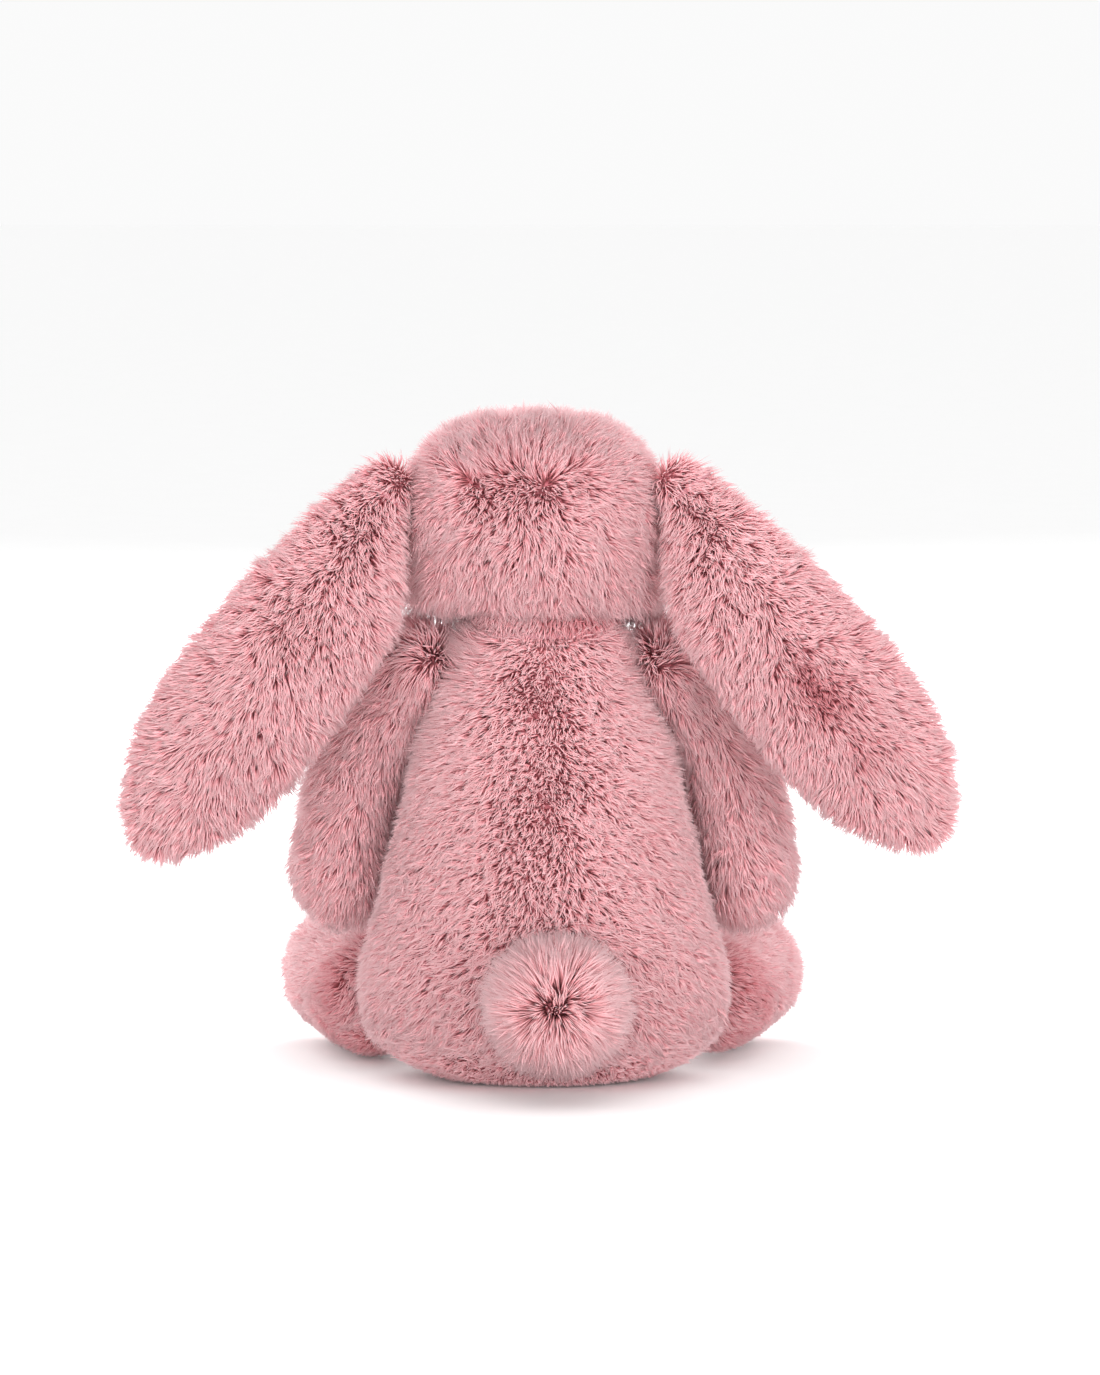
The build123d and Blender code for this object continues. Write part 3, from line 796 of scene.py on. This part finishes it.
def bare(body, roots):
    """True where no pile grows: in the neck's socket, where the sleeve meets the head, and inside both."""
    neck = np.array(JOINTS["head_nod"]["pos_m"])
    away = (roots.at - neck) / MM
    beside = np.hypot(away[:, 0], away[:, 1] / SLEEVE_DEPTH)
    if body == "torso":
        return (beside < 17) & (away[:, 2] > -20)
    if body == "head":
        return (beside < 22.5) & (roots.out[:, 2] < 0) & (away[:, 2] < 14)
    if body == "neck":
        return (np.abs(roots.out[:, 2]) > 0.8) | (away[:, 2] < -2.5) | (away[:, 2] > 9)
    return np.zeros(len(roots.at), bool)


def nearest_tufts(at, centres):
    tree = kdtree.KDTree(len(centres))
    for i, point in enumerate(centres):
        tree.insert(point, i)
    tree.balance()
    return np.array([tree.find(point)[1] for point in at])


def strands(body, roots, spacing, pull, turn, rng):
    """Root, middle and tip of every strand, with its tone."""
    at, out = roots.at, roots.out
    flow, lean, length, tone = body_flow(body, roots)
    wide, fine = Swell(30 * MM, SEED + 3), Swell(8 * MM, SEED + 5)
    sway = np.stack([Swell(16 * MM, SEED + 10 + k)(at) for k in range(3)], 1)
    direction = tangent(unit(flow) + sway * (0.34 if body == "head" else 0.2), out)
    lean = lean + 0.05 * wide(at) + 0.05 * fine(at)
    tone = tone + 0.08 * wide(at) + 0.05 * fine(at)
    seam = 1 - smoothstep(0.5, 3.0, roots.seam / MM)
    length = (length * (1 - 0.15 * seam)) * MM
    # Painted shade along the seams, where the pile parts: darker tone within about 3 mm of a seam.
    tone = tone - 0.06 * seam

    count = len(at)
    tufts = max(8, int(roots.area / spacing**2))
    chosen = rng.choice(count, min(tufts, count), replace=False)
    tuft = chosen[nearest_tufts(at, at[chosen])]
    tuft_turn = rng.normal(0, turn, (count, 3))
    tuft_lean = rng.normal(0, turn * 0.22, count)
    tuft_size = rng.normal(1, 0.07, count)
    tuft_tone = rng.normal(0, 0.07, count)

    heading = tangent(direction + tuft_turn[tuft] + rng.normal(0, 0.16, (count, 3)), out)
    length = length * tuft_size[tuft] * rng.uniform(0.76, 1.08, count)
    lean = np.clip(lean + tuft_lean[tuft] + rng.normal(0, 0.05, count), 0.05, 0.95)[:, None]
    rise = np.sqrt(1 - lean**2)
    low_lean = lean * 0.62
    low_rise = np.sqrt(1 - low_lean**2)
    mid = at + (out * low_rise + heading * low_lean) * (length * 0.5)[:, None]
    tip = mid + (out * (rise * 0.85) + heading * lean) * (length * 0.5)[:, None]
    share = rng.uniform(*pull, (count, 1))
    together = tip[tuft] - tip
    reach = np.linalg.norm(together, axis=1, keepdims=True)
    together = together * np.minimum(1, 2.0 * MM / np.maximum(reach, 1e-9))
    tip = tip + together * share
    mid = mid + together * share * 0.35
    mid[:, 2] = np.maximum(mid[:, 2], FLOOR_CLEARANCE + GUARD_MIDDLE)
    tip[:, 2] = np.maximum(tip[:, 2], FLOOR_CLEARANCE)
    tone = tone + tuft_tone[tuft] + rng.normal(0, 0.06, count)
    return at - out * ROOT_SINK, mid, tip, np.clip(tone, 0.02, 0.97)


def ring_around(root, tip, rng):
    """Three directions square to each strand, the third of a turn apart."""
    axis = unit(tip - root)
    helper = np.where(np.abs(axis[:, 2:3]) < 0.8, np.array([[0.0, 0, 1]]), np.array([[1.0, 0, 0]]))
    right = unit(np.cross(axis, helper))
    up = np.cross(axis, right)
    angle = rng.uniform(0, 2 * math.pi, len(root))[:, None] + np.array([0, 1, 2]) * 2 * math.pi / 3
    size = rng.uniform(0.8, 1.2, len(root))[:, None, None]
    return size * (right[:, None] * np.cos(angle)[:, :, None] + up[:, None] * np.sin(angle)[:, :, None])


def guard_points(root, mid, tip, rng):
    ring = ring_around(root, tip, rng)
    low, bend = root[:, None] + ring * GUARD_ROOT, mid[:, None] + ring * GUARD_MIDDLE
    return np.concatenate([low, bend, tip[:, None]], 1)


def under_points(root, tip, rng):
    ring = ring_around(root, tip, rng)
    return np.concatenate([root[:, None] + ring * UNDER_ROOT, tip[:, None]], 1)


def strand_mesh(name, groups):
    """Closed three-sided spikes; the OFBake layer holds tone across and root to tip upward."""
    points, loops, firsts, layers = [], [], [], []
    point_start = loop_start = 0
    for form, where, tone in groups:
        count = len(where)
        corners, starts = np.array(form["corners"]), np.array(form["starts"])
        points.append(where.reshape(-1, 3))
        loops.append((corners[None] + point_start + np.arange(count)[:, None] * form["points"]).reshape(-1))
        firsts.append((starts[None] + loop_start + np.arange(count)[:, None] * len(corners)).reshape(-1))
        across = tone[:, None] + (np.array(form["across"])[None] - 1.5) * 0.012
        height = np.broadcast_to(np.array(form["height"], float), across.shape)
        layers.append(np.stack([np.clip(across, 0, 1), height], 2).reshape(-1))
        point_start += count * form["points"]
        loop_start += count * len(corners)
    mesh = bpy.data.meshes.new(name)
    mesh.vertices.add(point_start)
    mesh.vertices.foreach_set("co", np.concatenate(points).reshape(-1))
    mesh.loops.add(loop_start)
    mesh.loops.foreach_set("vertex_index", np.concatenate(loops).astype(np.int32))
    firsts = np.concatenate(firsts).astype(np.int32)
    mesh.polygons.add(len(firsts))
    mesh.polygons.foreach_set("loop_start", firsts)
    mesh.update(calc_edges=True)
    mesh.uv_layers.new(name="OFBake").data.foreach_set("uv", np.concatenate(layers).astype(np.float32))
    shade_smooth(mesh)
    return mesh


def pile_slot(body, cover):
    if cover.startswith("ear_lining"):
        return "ear_lining"
    return "tail_plush" if body == "tail" else "plush"


def make_pile(body, skin, materials, rng):
    """One pile piece for each sewn panel of a body."""
    share = 1.0
    spacing, pull, turn = TUFTS[body.split("_")[0]]
    grown = []
    for density, tightness in ((GUARD_DENSITY, 1.0), (UNDER_DENSITY, 0.6)):
        if body == "tail":
            density = density * TAIL_DENSITY_GAIN
        roots = Roots(body, skin, density * share, rng)
        roots.keep(~bare(body, roots))
        drawn = [p * tightness for p in pull]
        grown.append((roots.panel, *strands(body, roots, spacing, drawn, turn, rng)))
    guard, under = grown
    for index, cover in enumerate(COVERS.get(body, ["neck"])):
        own, low = guard[0] == index, under[0] == index
        slot = pile_slot(body, cover)
        guards = guard_points(guard[1][own], guard[2][own], guard[3][own], rng)
        unders = under_points(under[1][low], under[3][low], rng)
        mesh = strand_mesh(
            cover + "_pile", [(GUARD_FORM, guards, guard[4][own]), (UNDER_FORM, unders, under[4][low])]
        )
        pile = make_object(cover + "_pile", mesh, materials[slot])
        if body == "neck":
            hang_sleeve(pile)
        else:
            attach(pile, body)
            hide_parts(cover)


# ---------------------------------------------------------------- face stitching


def tube(path, radius, sides=7):
    """Points and faces of a closed round tube along a path, tapered at both ends."""
    path = np.array(path)
    run = unit(np.gradient(path, axis=0))
    side = unit(np.cross(run, np.array([[0.31, 0.87, 0.38]])))
    up = np.cross(run, side)
    taper = np.ones(len(path))
    taper[0] = taper[-1] = 0.45
    turn = np.arange(sides) * 2 * math.pi / sides
    ring = side[:, None] * np.cos(turn)[None, :, None] + up[:, None] * np.sin(turn)[None, :, None]
    points = (path[:, None] + ring * (radius * taper)[:, None, None]).reshape(-1, 3)
    faces = []
    for level in range(len(path) - 1):
        for step in range(sides):
            after = (step + 1) % sides
            low, high = level * sides, (level + 1) * sides
            faces.append((low + step, low + after, high + after, high + step))
    faces.append(tuple(reversed(range(sides))))
    faces.append(tuple(range(len(points) - sides, len(points))))
    return points, faces


def stitched(name, tubes, material, node):
    """One piece made of many tubes, standing for a CAD node on the head."""
    points, faces, start = [], [], 0
    for tube_points, tube_faces in tubes:
        points.extend(tube_points.tolist())
        faces.extend(tuple(corner + start for corner in face) for face in tube_faces)
        start += len(tube_points)
    mesh = bpy.data.meshes.new(name)
    mesh.from_pydata(points, [], faces)
    mesh.update()
    shade_smooth(mesh)
    piece = make_object(name, mesh, material)
    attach(piece, "head")
    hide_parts(node)


def surface_in_front(tree, x, z):
    """Where a line looking backward at this x and z first meets a surface, or None."""
    hit = tree.ray_cast(Vector((x, -0.3, z)), Vector((0, 1, 0)))[0]
    return None if hit is None else hit.y


def skin_tree(skin):
    """A skin's surface, for finding where a stitch lies on it."""
    points, _, triangles = mesh_arrays(skin.data)
    return BVHTree.FromPolygons(points.tolist(), triangles.tolist())


def make_nose(material, skin):
    """Rows of satin stitches in a soft triangle, laid on the head's skin and sewn in at both ends."""
    low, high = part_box("nose")
    centre, half = (low.x + high.x) / 2, (high.x - low.x) / 2
    tree = skin_tree(skin)
    tubes = []
    for column in np.arange(-half + NOSE_FLOSS, half, NOSE_FLOSS * 1.25):
        share = abs(column) / half
        top = high.z - 0.5 * MM * share**3
        bottom = low.z + (high.z - low.z - 2.2 * MM) * share**1.25
        path = []
        for z in np.linspace(bottom, top, 9):
            y = surface_in_front(tree, centre + column, z)
            if y is not None:
                path.append((centre + column, y - NOSE_RISE * (1 - 0.4 * share**2), z))
        if len(path) > 3:
            below = Vector(path[0]) + Vector((0, NOSE_SEWN_IN, -0.3 * MM))
            above = Vector(path[-1]) + Vector((0, NOSE_SEWN_IN, 0.3 * MM))
            tubes.append(tube([below, *path, above], NOSE_FLOSS * 0.72))
    stitched("nose_stitching", tubes, material, "nose")


def make_mouth(material, skin):
    """Two twisted plies of thread, laid on the head's skin along a stem and two curves."""
    low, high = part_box("mouth_stitch")
    centre = (low.x + high.x) / 2
    wide = (high.x - low.x) / 2 - MOUTH_THREAD
    fork = high.z - 4 * MM
    tree = skin_tree(skin)
    lines = [[(centre, high.z - (high.z - fork) * t) for t in np.linspace(0, 1, 12)]]
    for side in (-1, 1):
        curve = []
        for t in np.linspace(0, 1, 22):
            dip = 2.7 * MM * math.sin(math.pi * min(t * 1.25, 1) / 1.55)
            curve.append((centre + side * wide * t, fork - dip))
        lines.append(curve)
    tubes = []
    for line in lines:
        path = np.array([(x, surface_in_front(tree, x, z) - MOUTH_LIFT, z) for x, z in line])
        run = unit(np.gradient(path, axis=0))
        side = unit(np.cross(run, np.array([[0.0, 1.0, 0.0]])))
        front = np.cross(run, side)
        reach = np.concatenate([[0], np.cumsum(np.linalg.norm(np.diff(path, axis=0), axis=1))])
        fine = np.linspace(0, reach[-1], int(reach[-1] / (0.25 * MM)))
        at = np.stack([np.interp(fine, reach, path[:, k]) for k in range(3)], 1)
        side = np.stack([np.interp(fine, reach, side[:, k]) for k in range(3)], 1)
        front = np.stack([np.interp(fine, reach, front[:, k]) for k in range(3)], 1)
        for ply in (0, math.pi):
            turn = (fine / MOUTH_TWIST * 2 * math.pi + ply)[:, None]
            offset = (side * np.cos(turn) + front * np.sin(turn)) * MOUTH_THREAD * 0.45
            tubes.append(tube(at + offset, MOUTH_THREAD * 0.55, sides=6))
    stitched("mouth_thread", tubes, material, "mouth_stitch")


# ---------------------------------------------------------------- carried-over CAD nodes


def dress_nodes(materials):
    """A procedural finish for every CAD node by its record slot."""
    for entry in frame["record"]["materials"]:
        slot = entry["slot"]
        for name in entry.get("nodes", []):
            mesh = NODES[name].data
            mesh.materials.clear()
            mesh.materials.append(materials[slot])


# ---------------------------------------------------------------- stage, light and camera


def make_camera():
    data = bpy.data.cameras.new("camera")
    data.sensor_fit = "VERTICAL"
    data.sensor_height = 36
    data.lens = VIEW_DISTANCE / VIEW_HEIGHT * data.sensor_height
    data.clip_start = 0.05
    data.clip_end = 60
    camera = bpy.data.objects.new("camera", data)
    bpy.context.scene.collection.objects.link(camera)
    tilt = math.radians(VIEW_ELEVATION)
    back = Vector((0, math.cos(tilt), math.sin(tilt)))
    camera.location = VIEW_TARGET + back * VIEW_DISTANCE
    camera.rotation_euler = (-back).to_track_quat("-Z", "Y").to_euler()
    bpy.context.scene.camera = camera


def make_stage():
    bm = bmesh.new()
    bmesh.ops.create_grid(bm, x_segments=12, y_segments=12, size=14)
    mesh = bpy.data.meshes.new("floor")
    bm.to_mesh(mesh)
    bm.free()
    material, tree, shader = new_material("pale_floor")
    speck = noise(tree, 30, 2.0)
    colour = ramp(tree, [(0.3, (0.985, 0.985, 0.985)), (0.7, (0.993, 0.993, 0.993))], speck)
    tree.links.new(colour, shader.inputs["Base Color"])
    shader.inputs["Roughness"].default_value = 0.9
    shader.inputs["Specular IOR Level"].default_value = 0.1
    floor = make_object("floor", mesh, material)


def add_light(name, place, target, width, power):
    data = bpy.data.lights.new(name, "AREA")
    data.shape = "DISK"
    data.size = width
    data.energy = power
    light = bpy.data.objects.new(name, data)
    bpy.context.scene.collection.objects.link(light)
    light.location = place
    light.rotation_euler = (Vector(target) - Vector(place)).to_track_quat("-Z", "Y").to_euler()


def make_light():
    scene = bpy.context.scene
    world = bpy.data.worlds.new("studio")
    scene.world = world
    world.use_nodes = True
    sky = world.node_tree.nodes["Background"]
    sky.inputs["Color"].default_value = (1, 1, 1, 1)
    sky.inputs["Strength"].default_value = SKY_STRENGTH
    scene.view_settings.view_transform = "Standard"
    for light in LIGHTS:
        add_light(*light)


# ---------------------------------------------------------------- assembly


def main():
    rng = np.random.default_rng(SEED)
    make_camera()
    make_stage()
    make_light()
    materials = make_materials()
    dress_nodes(materials)
    skins = {body: make_skin(body, materials["backing"]) for body in COVERS}
    for body, skin in skins.items():
        make_pile(body, skin, materials, rng)
    sleeve = make_sleeve(materials["backing"])
    make_pile("neck", sleeve, materials, rng)
    hang_sleeve(sleeve)
    make_nose(materials["nose"], skins["head"])
    make_mouth(materials["mouth"], skins["head"])


main()
